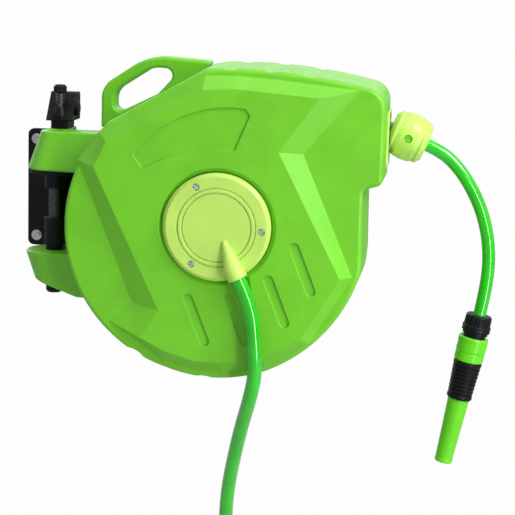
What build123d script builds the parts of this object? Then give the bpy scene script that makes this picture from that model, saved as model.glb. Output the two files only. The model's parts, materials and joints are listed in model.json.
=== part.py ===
from build123d import *
import math
import os

# Wall-mounted retracting garden hose reel, in millimetres.
# Origin: centre of the wall plate's back face. +X runs along the wall, +Y goes into the wall, +Z is up.
# At rest the casing is folded flat beside the wall, its face towards -Y.

# ---------------------------------------------------------------- driving dimensions

# wall bracket and swivel hinge
PLATE_WIDTH = 130
PLATE_HEIGHT = 157
PLATE_THICKNESS = 6
BOLT_SPACING_X = 106
BOLT_SPACING_Z = 130
BOLT_RADIUS = 3
BOLT_NECK = 3.3            # the bolt's plain neck, inside the plate
BOLT_REACH = 35            # how far the wall bolts stand out behind the plate
BOLT_SEAT = 7.6            # from the plate's back face to the bolt head, over the washer
AXIS_Y = -118              # swivel axis, in front of the wall
PIN_RADIUS = 6
RUNNING_GAP = 0.3          # between curved faces of bodies that turn on each other
UPPER_BARREL = (17, 36)    # bottom and top of each barrel
LOWER_BARREL = (-55, -21)
DETENT_TOP = 40.5
DETENT_RADIUS = 24         # from the swivel axis to the lock plunger
UPPER_ARM = (41, 89)
LOWER_ARM = (-62, -119)
PLUNGER_Y = AXIS_Y + DETENT_RADIUS

# casing
HUB_X = 220
HUB_Z = -9
PART_Y = -105              # parting plane between the two shells
RIM_Y = -193               # front edge of the casing wall
FACE_Y = -206              # raised panel of the face
BACK_Y = -15
WALL = 5
OUTLET_PLATE_X = HUB_X + 193.2
CASING_REACH = 186         # the casing's mean radius about the drum's axis
DRAFT = 2.5                # the wall leans in by this much from the parting plane to each edge
HUB_RADIUS = 65
SCREW_CIRCLE = 54

# drum
AXLE_RADIUS = 9
CORE_RADIUS = 60
FLANGE_RADIUS = 160
WINDING_RADIUS = 137
DRUM_FRONT_Y = -172
DRUM_REAR_Y = -62

# hoses
OUTLET_HOSE_RADIUS = 8
LEADER_HOSE_RADIUS = 8.75
OUTLET_TILT = -22          # degrees, the outlet hose's slope through the ball stop
BALL_CENTRE = (440.5, 98.5)  # x and z
BALL_HALF_LENGTH = 24
COIL_CENTRE = (150, -535)  # x and z of the put-away coil
COIL_Y = -112
COIL_RADIUS = 96           # to the middle of its turns
COIL_TURNS = 3             # side by side

# The free hoses' routes, point by point: x, y, z.
OUTLET_ROUTE = [
    (462.7, -105, 89.5), (483.1, -105, 81.3), (505.5, -105, 60.5), (524.5, -105, 32),
    (538.5, -105, 0), (546.5, -105, -38), (546.2, -105, -80), (539, -105, -120),
]
LEADER_ROUTE = [
    (248.6, -219, -67.5), (264.9, -219, -99.8), (270, -219, -140), (273, -217, -182),
    (266.5, -209, -216), (254.5, -188, -258), (243.5, -166, -306), (234, -146, -356),
    (230, -130, -408), (235, -113, -458), (246, -98, -500), (246, -94.5, -535),
]

os.makedirs("parts", exist_ok=True)


# ---------------------------------------------------------------- helpers

def save(builder, name):
    """Labels a finished piece and writes it as its own file."""
    builder.part.label = name
    export_step(builder.part, f"parts/{name}.step")


def face_plane(y):
    """A plane parallel to the face: origin on the drum's axis, x right, y up, normal to the viewer."""
    return Plane(origin=(HUB_X, y, HUB_Z), x_dir=(1, 0, 0), z_dir=(0, -1, 0))


def turning_plane(origin, direction):
    """A plane whose y axis is the turning axis, so that an outline in it is (radius, distance along)."""
    along = Vector(*direction).normalized()
    side = Vector(0, 1, 0) if abs(along.Y) < 0.9 else Vector(1, 0, 0)
    side = (side - along * side.dot(along)).normalized()
    return Plane(origin=origin, x_dir=side, z_dir=side.cross(along))


def turn(plane, points, mode=Mode.ADD):
    """Revolves a closed outline about its plane's y axis, into the piece being built."""
    with BuildSketch(plane, mode=Mode.PRIVATE) as profile:
        with BuildLine():
            Polyline(*points, close=True)
        make_face()
    revolve(profile.sketch, axis=Axis(plane.origin, plane.y_dir), mode=mode)


def rod(plane, radius, start, end, mode=Mode.ADD):
    """A round bar along a turning plane's axis."""
    turn(plane, [(0, start), (radius, start), (radius, end), (0, end)], mode)


def ring(plane, inner, outer, start, end, mode=Mode.ADD):
    """A plain ring about a turning plane's axis."""
    turn(plane, [(inner, start), (outer, start), (outer, end), (inner, end)], mode)


def polygon(plane, points):
    """A closed outline with straight sides."""
    with BuildSketch(plane, mode=Mode.PRIVATE) as outline:
        with BuildLine():
            Polyline(*points, close=True)
        make_face()
    return outline.sketch


HINGE = turning_plane((0, AXIS_Y, 0), (0, 0, 1))
PLUNGER = turning_plane((0, PLUNGER_Y, 0), (0, 0, 1))
HUB = turning_plane((HUB_X, 0, HUB_Z), (0, 1, 0))


# ---------------------------------------------------------------- wall bracket and hinge

def wall_bracket():
    with BuildPart() as bracket:
        with BuildSketch(Plane.XZ):
            RectangleRounded(PLATE_WIDTH, PLATE_HEIGHT, 8)
            with GridLocations(BOLT_SPACING_X, BOLT_SPACING_Z, 2, 2):
                Circle(BOLT_NECK + 0.3, mode=Mode.SUBTRACT)
        extrude(amount=PLATE_THICKNESS)
        # the upright web that carries the barrels
        web = [(-5, -72), (-5, 72), (-75, 34), (-110, 32), (-110, -50), (-75, -53)]
        extrude(polygon(Plane.YZ, web), amount=4, both=True)
        # flat gussets above and below, narrow enough for the folded casing to pass
        gusset = [(-44, -5), (44, -5), (17, -22), (13, AXIS_Y), (-13, AXIS_Y), (-17, -22)]
        for height in (LOWER_BARREL[0] + 2, UPPER_BARREL[1] - 7):
            extrude(polygon(Plane.XY.offset(height), gusset), amount=5)
        ring(HINGE, 8, 12.5, *UPPER_BARREL)
        ring(HINGE, 8, 12.5, *LOWER_BARREL)
        for bottom, top in (UPPER_BARREL, LOWER_BARREL):
            rod(HINGE, 8, bottom, top, Mode.SUBTRACT)
    save(bracket, "wall_bracket")


def wall_bolts():
    with BuildPart() as bolts:
        for x in (-BOLT_SPACING_X / 2, BOLT_SPACING_X / 2):
            for z in (-BOLT_SPACING_Z / 2, BOLT_SPACING_Z / 2):
                axis = turning_plane((x, 0, z), (0, -1, 0))
                turn(axis, [(0, -BOLT_REACH - 3), (BOLT_RADIUS, -BOLT_REACH), (BOLT_RADIUS, 0), (BOLT_NECK, 0),
                            (BOLT_NECK, BOLT_SEAT), (0, BOLT_SEAT)])
                with BuildSketch(Plane(origin=(x, -BOLT_SEAT, z), x_dir=(1, 0, 0), z_dir=(0, -1, 0))):
                    RegularPolygon(5.8, 6)
                extrude(amount=4)
    save(bolts, "wall_bolts")


def wall_washers():
    with BuildPart() as washers:
        for x in (-BOLT_SPACING_X / 2, BOLT_SPACING_X / 2):
            for z in (-BOLT_SPACING_Z / 2, BOLT_SPACING_Z / 2):
                ring(turning_plane((x, 0, z), (0, -1, 0)), BOLT_NECK + 0.2, 7, PLATE_THICKNESS, BOLT_SEAT)
    save(washers, "wall_washers")


def hinge_bushes():
    with BuildPart() as bushes:
        ring(HINGE, PIN_RADIUS + 0.05, 8, LOWER_BARREL[0], LOWER_BARREL[1])
        ring(HINGE, PIN_RADIUS + 0.05, 11, LOWER_BARREL[0] - 6.5, LOWER_BARREL[0])
        ring(HINGE, PIN_RADIUS + 0.05, 8, UPPER_BARREL[0], UPPER_BARREL[1])
    save(bushes, "hinge_bushes")


def spacer_sleeve():
    with BuildPart() as sleeve:
        ring(HINGE, PIN_RADIUS + 0.05, 7.4, LOWER_BARREL[1], UPPER_BARREL[0])
    save(sleeve, "spacer_sleeve")


def detent_plate():
    with BuildPart() as plate:
        ring(HINGE, PIN_RADIUS + 0.05, 31, UPPER_BARREL[1], DETENT_TOP)
        # one plunger hole every 45 degrees over the half turn that the casing makes
        for step in range(5):
            angle = math.radians(90 - 45 * step)
            centre = (DETENT_RADIUS * math.cos(angle), AXIS_Y + DETENT_RADIUS * math.sin(angle), 0)
            rod(turning_plane(centre, (0, 0, 1)), 4.3, UPPER_BARREL[1] - 1, DETENT_TOP + 1, Mode.SUBTRACT)
    save(plate, "detent_plate")


def hinge_pin():
    with BuildPart() as pin:
        rod(HINGE, PIN_RADIUS, -112, 84)
        rod(HINGE, 9, 84, 87.5)
        chamfer(pin.edges().sort_by(Axis.Z)[-1], 0.8)
    save(pin, "hinge_pin")


def pin_nut():
    with BuildPart() as nut:
        outline = [(PIN_RADIUS + 0.05, -102.5), (10.4, -102.5), (10.4, -114), (8.5, -117), (0, -117),
                   (0, -112.1), (PIN_RADIUS + 0.05, -112.1)]
        turn(HINGE, outline)
    save(nut, "pin_nut")


# ---------------------------------------------------------------- casing outline

def casing_outline(y, grow):
    """The casing seen from the front, larger all round by about grow."""
    factor = 1 + grow / CASING_REACH

    def spot(x, z):
        return (x * factor, z * factor)

    with BuildSketch(face_plane(y), mode=Mode.PRIVATE) as outline:
        with BuildLine():
            Line(spot(-137, 118), spot(-20, 186))
            ThreePointArc(spot(-20, 186), spot(90, 183.5), spot(193.5, 165))
            Polyline(spot(193.5, 165), spot(193.5, 57), spot(171, 50), spot(173, -48))
            ThreePointArc(spot(173, -48), spot(136, -121), spot(60, -178))
            ThreePointArc(spot(60, -178), spot(0, -189.5), spot(-60, -180))
            ThreePointArc(spot(-60, -180), spot(-189.5, -10), spot(-137, 118))
        make_face()
        # each corner is picked by where it stands, then rounded
        for x, z, radius in ((193.5, 165, 26), (193.5, 57, 8), (171, 50, 8), (173, -48, 40), (60, -178, 60),
                             (-60, -180, 60), (-137, 118, 30), (-20, 186, 22)):
            near = outline.vertices().sort_by_distance(Vector(*spot(x, z)))[0]
            fillet(near, radius)
    return outline.sketch


SCALLOP_RADIUS = 25
SCALLOP_DEPTH = 2.8


def casing_half(depth, grow, mode=Mode.ADD):
    """A drafted slab of the casing's outline, from the parting plane towards the viewer."""
    lean = DRAFT * depth / (PART_Y - RIM_Y)
    sections = [casing_outline(PART_Y, grow), casing_outline(PART_Y - depth, grow - lean)]
    loft(sections, ruled=True, mode=mode)


def scallops():
    """Shallow grooves across the casing's top and bottom edges, cut through the whole depth."""
    above = SCALLOP_RADIUS - SCALLOP_DEPTH + DRAFT / 2
    top = [(8, 187), (58, 186), (107, 181.6)]
    bottom = [(189 * math.cos(math.radians(a)), 189 * math.sin(math.radians(a))) for a in (-121, -94, -68)]
    with BuildSketch(face_plane(PART_Y), mode=Mode.PRIVATE) as grooves:
        for x, z in top:
            with Locations((x, z + above)):
                Circle(SCALLOP_RADIUS)
        for x, z in bottom:
            reach = 1 + above / math.hypot(x, z)
            with Locations((x * reach, z * reach)):
                Circle(SCALLOP_RADIUS)
    extrude(grooves.sketch, amount=120, both=True, mode=Mode.SUBTRACT)


def outlet_window():
    """The opening for the hose in the casing's right side, in a shallow pocket for the outlet plate."""
    with BuildPart(mode=Mode.PRIVATE) as window:
        with Locations((HUB_X + 194, PART_Y, HUB_Z + 113)):
            Box(24, 60, 56)
        with BuildSketch(Plane.YZ.offset(OUTLET_PLATE_X)):
            with Locations((PART_Y, HUB_Z + 105)):
                RectangleRounded(76.4, 68.4, 8)
        extrude(amount=10)
    return window.part


# Boss centres round the edge, about the drum's axis.
SHELL_SCREWS = [(-174, 15), (-153, -85), (-64, -162), (62, -161), (150, -84), (172, 146), (0, 171)]


# ---------------------------------------------------------------- shells

def front_shell():
    # The face has a raised panel with a wedge cut out of each side; its edges slope down to the rim.
    foot = [(-174, 72), (-106, -99), (-134, -124), (-64, -171), (-26, -181), (10, -182), (62, -173),
            (114, -140), (163, -55), (100, 90), (165, 168), (68, 177), (18, 180), (-20, 179), (-148, 106)]
    panel = [(-151, 65), (-69, -106), (-91, -141), (-60, -156), (-26, -165.5), (9, -166.5), (58, -158.5),
             (104, -132), (149, -56), (71, 92), (117, 157.5), (68, 161), (18, 164.5), (-22, 162), (-136, 97)]
    hollow = [(-130, 60), (-55, -104), (-70, -133), (-26, -152), (9, -153), (52, -146), (93, -120),
              (132, -56), (55, 90), (95, 144), (60, 148), (-20, 150), (-118, 94)]
    with BuildPart() as shell:
        casing_half(PART_Y - RIM_Y, DRAFT)
        rim = shell.faces().sort_by(Axis.Y)[0]
        fillet(rim.edges(), 5)
        loft([polygon(face_plane(RIM_Y + 0.5), foot), polygon(face_plane(FACE_Y), panel)], ruled=True)
        casing_half(PART_Y - RIM_Y - WALL, DRAFT - WALL, Mode.SUBTRACT)
        extrude(polygon(face_plane(RIM_Y + WALL + 1), hollow), amount=8, mode=Mode.SUBTRACT)
        # seat of the hub cap, with a bevelled groove round it
        seat = [(0, FACE_Y - 1), (71, FACE_Y - 1), (71, FACE_Y), (66, FACE_Y + 5), (66, -197), (38, -197),
                (38, -185), (0, -185)]
        turn(HUB, seat, Mode.SUBTRACT)
        for x, z in polar_spots(SCREW_CIRCLE):
            rod(turning_plane((HUB_X + x, 0, HUB_Z + z), (0, 1, 0)), 1.6, -198, -188, Mode.SUBTRACT)
        name_recess()
        blind_slots()
        scallops()
        # the trough that the leader hose lies in
        trough = turning_plane((HUB_X + 33, FACE_Y - 7.5, HUB_Z - 60), (0.2, 0, -1))
        rod(trough, LEADER_HOSE_RADIUS + 1.8, 0, 62, Mode.SUBTRACT)
        add(outlet_window(), mode=Mode.SUBTRACT)
        for x, z in SHELL_SCREWS:
            boss = turning_plane((HUB_X + x, 0, HUB_Z + z), (0, 1, 0))
            ring(boss, 1.6, 5, RIM_Y + 3, PART_Y)
    save(shell, "front_shell")


def name_recess():
    """A plain sunk field above the hub, shaped like a fan blade."""
    with BuildSketch(face_plane(FACE_Y - 0.5), mode=Mode.PRIVATE) as blade:
        with BuildLine():
            ThreePointArc((-103.5, 82), (-46, 129.5), (30, 142))
            Polyline((30, 142), (36, 134), (19, 92))
            ThreePointArc((19, 92), (-40, 87), (-92, 65.5))
            Line((-92, 65.5), (-103.5, 82))
        make_face()
        fillet(blade.vertices(), 3)
    extrude(blade.sketch, amount=-2.5, mode=Mode.SUBTRACT)


def blind_slots():
    """Four slanting slots under and beside the hub."""
    with BuildSketch(face_plane(FACE_Y - 0.5), mode=Mode.PRIVATE) as slots:
        with Locations((-22.5, -115), (27, -112), (74, -87), (104, -46.5)):
            SlotCenterToCenter(56, 12, rotation=-67.8)
    extrude(slots.sketch, amount=-3, mode=Mode.SUBTRACT)


def rear_shell():
    with BuildPart() as shell:
        casing_half(BACK_Y - PART_Y, DRAFT)
        fillet(shell.faces().sort_by(Axis.Y)[0].edges(), 5)
        casing_half(BACK_Y - PART_Y - WALL, DRAFT - WALL, Mode.SUBTRACT)
        mirror(about=Plane(origin=(0, PART_Y, 0), z_dir=(0, 1, 0)), mode=Mode.REPLACE)
        scallops()
        # a sunk ring and spokes stiffen the back
        ring(HUB, 60, 150, BACK_Y - 1.5, BACK_Y + 1, Mode.SUBTRACT)
        for spoke in range(6):
            with Locations(Plane(origin=(HUB_X, BACK_Y, HUB_Z), x_dir=(1, 0, 0), z_dir=(0, 1, 0))):
                with Locations(Location((0, 0, -1), (0, 0, 60 * spoke))):
                    with Locations((105, 0, 0)):
                        Box(92, 10, 2)
        # the axle's rear bearing
        ring(HUB, AXLE_RADIUS + 0.05, 16, BACK_Y - 12, BACK_Y - WALL)
        rod(HUB, AXLE_RADIUS + 0.05, BACK_Y - WALL - 1, BACK_Y + 1, Mode.SUBTRACT)
        add(outlet_window(), mode=Mode.SUBTRACT)
        for x, z in SHELL_SCREWS:
            boss = turning_plane((HUB_X + x, 0, HUB_Z + z), (0, 1, 0))
            ring(boss, 2.4, 5, PART_Y, BACK_Y - 3)
            rod(boss, 2.4, PART_Y - 1, BACK_Y + 1, Mode.SUBTRACT)
            rod(boss, 4.2, BACK_Y - 5, BACK_Y + 1, Mode.SUBTRACT)
    save(shell, "rear_shell")


def shell_screws():
    with BuildPart() as screws:
        for x, z in SHELL_SCREWS:
            axis = turning_plane((HUB_X + x, 0, HUB_Z + z), (0, 1, 0))
            turn(axis, [(0, PART_Y - 12), (1.6, PART_Y - 11), (1.6, BACK_Y - 5), (4, BACK_Y - 5),
                        (4, BACK_Y - 2), (0, BACK_Y - 2)])
    save(screws, "shell_screws")


# ---------------------------------------------------------------- swivel arms, lock and carry handle

def casing_block():
    """The casing's outside as one solid, to trim what is fixed to its sides."""
    with BuildPart(mode=Mode.PRIVATE) as block:
        casing_half(PART_Y - RIM_Y, DRAFT)
        mirror(about=Plane(origin=(0, PART_Y, 0), z_dir=(0, 1, 0)))
    return block.part


def arm_plan(height, knuckle, reach):
    """An arm from above: a round knuckle on the swivel axis, widening to reach at the casing."""
    with BuildSketch(Plane.XY.offset(height), mode=Mode.PRIVATE) as plan:
        with BuildLine():
            Line((0, AXIS_Y - knuckle), (100, AXIS_Y - reach))
            Line((100, AXIS_Y - reach), (100, AXIS_Y + reach))
            Line((100, AXIS_Y + reach), (0, AXIS_Y + knuckle))
            ThreePointArc((0, AXIS_Y + knuckle), (-knuckle, AXIS_Y), (0, AXIS_Y - knuckle))
        make_face()
    return plan.sketch


def upper_arm():
    bottom, top = UPPER_ARM
    with BuildPart() as arm:
        loft([arm_plan(bottom, 34, 44), arm_plan(top, 17, 27)], ruled=True)
        fillet(arm.edges().group_by(Axis.Z)[-1], 3)
        fillet(arm.edges().group_by(Axis.Z)[0], 2)
        # the pad behind the knuckle that the lock stands on
        with BuildSketch(Plane.XY.offset(60)):
            with Locations((0, -80)):
                RectangleRounded(27, 46, 5)
        extrude(amount=top - 60)
        add(casing_block(), mode=Mode.SUBTRACT)
        rod(HINGE, PIN_RADIUS + RUNNING_GAP, bottom - 1, top + 1, Mode.SUBTRACT)
        rod(HINGE, 9.4, 83.5, top + 1, Mode.SUBTRACT)
        rod(PLUNGER, 4.3, bottom - 1, top + 1, Mode.SUBTRACT)
        rod(PLUNGER, 7.5, 66, top + 1, Mode.SUBTRACT)
    save(arm, "upper_arm")


def lower_arm():
    top, bottom = LOWER_ARM
    with BuildPart() as arm:
        loft([arm_plan(bottom, 17.5, 27), arm_plan(top, 36, 45)], ruled=True)
        # the underside rises towards the knuckle
        under = [(-60, -84.5), (120, -150), (-60, -150)]
        extrude(polygon(Plane.XZ.offset(50), under), amount=150, mode=Mode.SUBTRACT)
        fillet(arm.edges().group_by(Axis.Z)[-1], 2)
        fillet(arm.faces().sort_by(Axis.Z)[0].edges(), 2)
        add(casing_block(), mode=Mode.SUBTRACT)
        rod(HINGE, PIN_RADIUS + RUNNING_GAP, bottom - 1, top + 1, Mode.SUBTRACT)
        rod(HINGE, 10.8, bottom - 1, -102, Mode.SUBTRACT)
    save(arm, "lower_arm")


def lock_block():
    with BuildPart() as block:
        # a neck, then a head whose front leans back
        with BuildSketch(Plane.XY.offset(UPPER_ARM[1])):
            with Locations((0, -80)):
                RectangleRounded(22, 40, 4)
        extrude(amount=11)
        head = [(-100, 99), (-100, 101), (-75, 134), (-58, 134), (-54, 130), (-54, 99)]
        extrude(polygon(Plane.YZ, head), amount=16.5, both=True)
        fillet(block.edges().filter_by(Axis.X).filter_by_position(Axis.Z, 133, 135), 2)
        # side boss
        side = turning_plane((0, -77, 114), (1, 0, 0))
        turn(side, [(0, 0), (9.5, 0), (9.5, 18.5), (7, 21), (0, 21)])
        # conical seat round the plunger
        turn(PLUNGER, [(0, 100), (9, 100), (9, 106), (6.2, 116), (0, 116)])
        rod(PLUNGER, 4.3, 88, 120, Mode.SUBTRACT)
    save(block, "lock_block")


def lock_plunger():
    """The locking plunger, pulled up clear of the detent plate; it drops by 4.3 to lock the casing."""
    with BuildPart() as plunger:
        outline = [(0, 40.8), (2.6, 40.8), (4, 42.6), (4, 71), (7, 71), (7, 73.5), (4, 73.5)]
        # rings round the stem, high enough to stay above the seat when the plunger drops
        for bottom in (121, 124.2, 127.4, 130.6):
            outline += [(4, bottom), (5.6, bottom), (5.6, bottom + 1.6), (4, bottom + 2)]
        outline += [(4, 134), (0, 134)]
        turn(PLUNGER, outline)
    save(plunger, "lock_plunger")


def lock_knob():
    with BuildPart() as knob:
        turn(PLUNGER, [(0, 134), (6.5, 134), (8.3, 136), (8.3, 142), (6, 144.5), (0, 145)])
        for tooth in range(12):
            angle = math.radians(30 * tooth)
            centre = (9 * math.cos(angle), PLUNGER_Y + 9 * math.sin(angle), 0)
            rod(turning_plane(centre, (0, 0, 1)), 1.2, 133, 146, Mode.SUBTRACT)
    save(knob, "lock_knob")


def lock_spring():
    with BuildPart() as spring:
        with BuildLine():
            coil = Helix(pitch=2.8, height=14, radius=5.6, center=(0, PLUNGER_Y, 74.3))
        with BuildSketch(Plane(origin=coil @ 0, z_dir=coil % 0)):
            Circle(0.6)
        sweep(path=coil)
    save(spring, "lock_spring")


def carry_handle():
    with BuildPart() as handle:
        with BuildSketch(Plane.XZ.offset(-PART_Y)) as loop:
            with BuildLine():
                FilletPolyline((59, 96), (59, 147), (118, 186.5), (196, 182), (180, 150), (80, 96),
                               radius=[28, 70, 3, 3], close=False)
                Line((80, 96), (59, 96))
            make_face()
            with BuildLine():
                FilletPolyline((75, 112), (75, 141), (122, 172), (158, 171), (130, 140), (75, 112),
                               radius=[8, 20, 30, 9, 8], close=True)
            make_face(mode=Mode.SUBTRACT)
        extrude(amount=17, both=True)
        fillet(handle.faces().filter_by(Axis.Y).edges(), 4)
        add(casing_block(), mode=Mode.SUBTRACT)
    save(handle, "carry_handle")


# ---------------------------------------------------------------- hub cap and water inlet

# The fairing runs from the middle of the cap towards its lower rim; the leader hose leaves its end.
FAIRING_START = Vector(HUB_X + 9, -212, HUB_Z - 15)
FAIRING_END = Vector(*LEADER_ROUTE[0])
FAIRING_DIRECTION = (Vector(*LEADER_ROUTE[1]) - FAIRING_END).normalized()


def hub_cap():
    with BuildPart() as cap:
        face = -213
        outline = [(0, face), (40.5, face), (41, face + 1.4), (42, face + 1.4), (42.5, face - 0.6),
                   (46, face - 0.6), (46.5, face + 1.4), (47.5, face + 1.4), (48, face), (61, face),
                   (HUB_RADIUS, face + 4), (HUB_RADIUS, -197), (HUB_RADIUS - 4, -197),
                   (HUB_RADIUS - 4, face + 4), (0, face + 4)]
        turn(HUB, outline)
        for x, z in polar_spots(SCREW_CIRCLE):
            boss = turning_plane((HUB_X + x, 0, HUB_Z + z), (0, 1, 0))
            ring(boss, 1.6, 4.6, face + 3, -197)
            rod(boss, 1.6, face - 1, -196, Mode.SUBTRACT)
            rod(boss, 4.3, face - 1, face + 2.2, Mode.SUBTRACT)
        along = FAIRING_DIRECTION
        sections = []
        for centre, radius in ((FAIRING_START, 2.5), (FAIRING_END - along * 14, 11.6), (FAIRING_END, 12.2)):
            with BuildSketch(Plane(origin=centre, x_dir=(0, 1, 0), z_dir=along), mode=Mode.PRIVATE) as section:
                Circle(radius)
            sections.append(section.sketch)
        loft(sections, ruled=True)
        # nothing of the fairing reaches behind the cap's inner face, and the hose gets its mouth
        with Locations((HUB_X, -203, HUB_Z)):
            Box(46, 11.9, 46, mode=Mode.SUBTRACT)
        mouth = turning_plane(FAIRING_END, along)
        rod(mouth, LEADER_HOSE_RADIUS + 1.7, -9, 1, Mode.SUBTRACT)
        # the front shell's bevelled seat stays clear of the fairing
        ring(HUB, HUB_RADIUS, 80, -210, -190, Mode.SUBTRACT)
    save(cap, "hub_cap")


def polar_spots(radius):
    """The three cap screws' places about the drum's axis."""
    return [(radius * math.cos(math.radians(a)), radius * math.sin(math.radians(a))) for a in (118, -3, 237)]


def hub_cap_screws():
    with BuildPart() as screws:
        for x, z in polar_spots(SCREW_CIRCLE):
            axis = turning_plane((HUB_X + x, 0, HUB_Z + z), (0, 1, 0))
            turn(axis, [(0, -212.4), (3, -212.4), (4, -211.6), (4, -210.8), (1.6, -210.8), (1.6, -190),
                        (0, -188.5)])
            # cross slot
            for turned in (45, 135):
                with Locations(Location((HUB_X + x, -212.4, HUB_Z + z), (0, turned, 0))):
                    Box(5, 1.4, 0.9, mode=Mode.SUBTRACT)
    save(screws, "hub_cap_screws")


def hose_gland():
    """The rubber sleeve that holds the leader hose in the fairing's mouth."""
    with BuildPart() as gland:
        mouth = turning_plane(FAIRING_END, FAIRING_DIRECTION)
        ring(mouth, 0, LEADER_HOSE_RADIUS + 1.6, -8.8, 0)
    save(gland, "hose_gland")


def inlet_elbow():
    """Takes the water from the leader hose into the hollow axle."""
    with BuildPart() as elbow:
        rod(HUB, 12, -208.5, -196.2)
        rod(HUB, AXLE_RADIUS, -196.2, -195)
        arm = turning_plane((HUB_X, -203, HUB_Z), (0.45, 0, -0.893))
        rod(arm, 5, 0, 22)
        rod(HUB, 5.5, -206, -190, Mode.SUBTRACT)
        rod(arm, 3.2, 0, 23, Mode.SUBTRACT)
    save(elbow, "inlet_elbow")


def axle_tube():
    with BuildPart() as axle:
        ring(HUB, 5.5, AXLE_RADIUS, -195, BACK_Y)
        rod(turning_plane((HUB_X, -120, HUB_Z), (0, 0, 1)), 4, 0, 12, Mode.SUBTRACT)
    save(axle, "axle_tube")


def axle_cap():
    """Covers the axle's rear end and its nut."""
    with BuildPart() as cap:
        turn(HUB, [(0, BACK_Y), (24, BACK_Y), (24, BACK_Y + 4), (20, BACK_Y + 8), (0, BACK_Y + 8)])
        for notch in range(6):
            angle = math.radians(60 * notch)
            centre = (HUB_X + 25 * math.cos(angle), 0, HUB_Z + 25 * math.sin(angle))
            rod(turning_plane(centre, (0, 1, 0)), 4, BACK_Y - 1, BACK_Y + 9, Mode.SUBTRACT)
    save(cap, "axle_cap")


# ---------------------------------------------------------------- drum

def drum_core():
    with BuildPart() as core:
        ring(HUB, CORE_RADIUS - 4, CORE_RADIUS, DRUM_FRONT_Y + 4, DRUM_REAR_Y - 4)
        ring(HUB, 12, CORE_RADIUS, DRUM_FRONT_Y + 4, DRUM_FRONT_Y + 8)
        ring(HUB, 12, CORE_RADIUS, DRUM_REAR_Y - 8, DRUM_REAR_Y - 4)
        with BuildSketch(face_plane(DRUM_FRONT_Y + 9)) as vents:
            with PolarLocations(36, 6):
                Circle(11)
        extrude(amount=-2, mode=Mode.SUBTRACT)
        rod(turning_plane((HUB_X, -120, HUB_Z), (0, 0, 1)), 6.5, 50, 70, Mode.SUBTRACT)
    save(core, "drum_core")


def drum_flange(y, name):
    """A round side plate with lightening holes; it is bolted to the drum's core."""
    with BuildPart() as flange:
        ring(HUB, 12, FLANGE_RADIUS, y, y + 4)
        with BuildSketch(face_plane(y + 5)):
            with PolarLocations(112, 8):
                SlotCenterToCenter(40, 22)
        extrude(amount=6, mode=Mode.SUBTRACT)
        with BuildSketch(face_plane(y + 5)):
            with PolarLocations(50, 6, start_angle=30):
                Circle(2.2)
        extrude(amount=6, mode=Mode.SUBTRACT)
    save(flange, name)


def front_flange():
    drum_flange(DRUM_FRONT_Y, "front_flange")


def rear_flange():
    drum_flange(DRUM_REAR_Y - 4, "rear_flange")


def flange_bolts():
    with BuildPart() as bolts:
        for turned in range(6):
            angle = math.radians(60 * turned + 30)
            centre = (HUB_X + 50 * math.cos(angle), 0, HUB_Z + 50 * math.sin(angle))
            axis = turning_plane(centre, (0, 1, 0))
            turn(axis, [(0, DRUM_FRONT_Y - 3), (4, DRUM_FRONT_Y - 3), (4, DRUM_FRONT_Y), (2, DRUM_FRONT_Y),
                        (2, DRUM_FRONT_Y + 4), (0, DRUM_FRONT_Y + 4)])
    save(bolts, "flange_bolts")


def drum_bushes():
    with BuildPart() as bushes:
        for start in (DRUM_FRONT_Y, DRUM_REAR_Y - 8):
            ring(HUB, AXLE_RADIUS + 0.08, 12, start, start + 8)
    save(bushes, "drum_bushes")


def wound_hose():
    """The rest of the outlet hose, wound on the drum, as one solid with its layers' outer shape."""
    with BuildPart() as winding:
        ring(HUB, CORE_RADIUS, WINDING_RADIUS, DRUM_FRONT_Y + 4, DRUM_REAR_Y - 4)
    save(winding, "wound_hose")


def drum_elbow():
    """Leads the water from the axle through the drum's core to the wound hose."""
    with BuildPart() as elbow:
        up = turning_plane((HUB_X, -120, HUB_Z), (0, 0, 1))
        rod(up, 6, 12, CORE_RADIUS - 0.5)
        ring(HUB, AXLE_RADIUS + 0.08, 14, -128, -112)
        rod(up, 4, 9, CORE_RADIUS + 1, Mode.SUBTRACT)
    save(elbow, "drum_elbow")


def swivel_seals():
    with BuildPart() as seals:
        for y in (-131, -109):
            ring(HUB, AXLE_RADIUS + 0.08, 11.5, y - 1.5, y + 1.5)
    save(seals, "swivel_seals")


def spring_cup():
    with BuildPart() as cup:
        ring(HUB, 12, 62, DRUM_REAR_Y, DRUM_REAR_Y + 2)
        ring(HUB, 59, 62, DRUM_REAR_Y + 2, DRUM_REAR_Y + 30)
    save(cup, "spring_cup")


def spring_arbor():
    with BuildPart() as arbor:
        ring(HUB, AXLE_RADIUS, 15, DRUM_REAR_Y + 2.5, DRUM_REAR_Y + 33)
    save(arbor, "spring_arbor")


def main_spring():
    """The flat coil spring that winds the drum back: half turns whose radius grows at each one."""
    thickness = 0.8
    half_turns = 22
    step = (58 - 15.6) / half_turns
    with BuildPart() as spring:
        with BuildSketch(face_plane(DRUM_REAR_Y + 4)) as strip:
            with BuildLine():
                for edge in (0, thickness):
                    for turn_index in range(half_turns):
                        sign = 1 if turn_index % 2 == 0 else -1
                        inner = 15.2 + edge + step * turn_index
                        outer = inner + step
                        middle = (outer - inner) / 2 * -sign
                        radius = (inner + outer) / 2
                        ThreePointArc((sign * inner, 0), (middle, radius * sign), (-sign * outer, 0))
                end = 15.2 + step * half_turns
                Line((15.2, 0), (15.2 + thickness, 0))
                Line((end, 0), (end + thickness, 0))
            make_face()
        extrude(amount=-24)
    save(spring, "main_spring")


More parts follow.
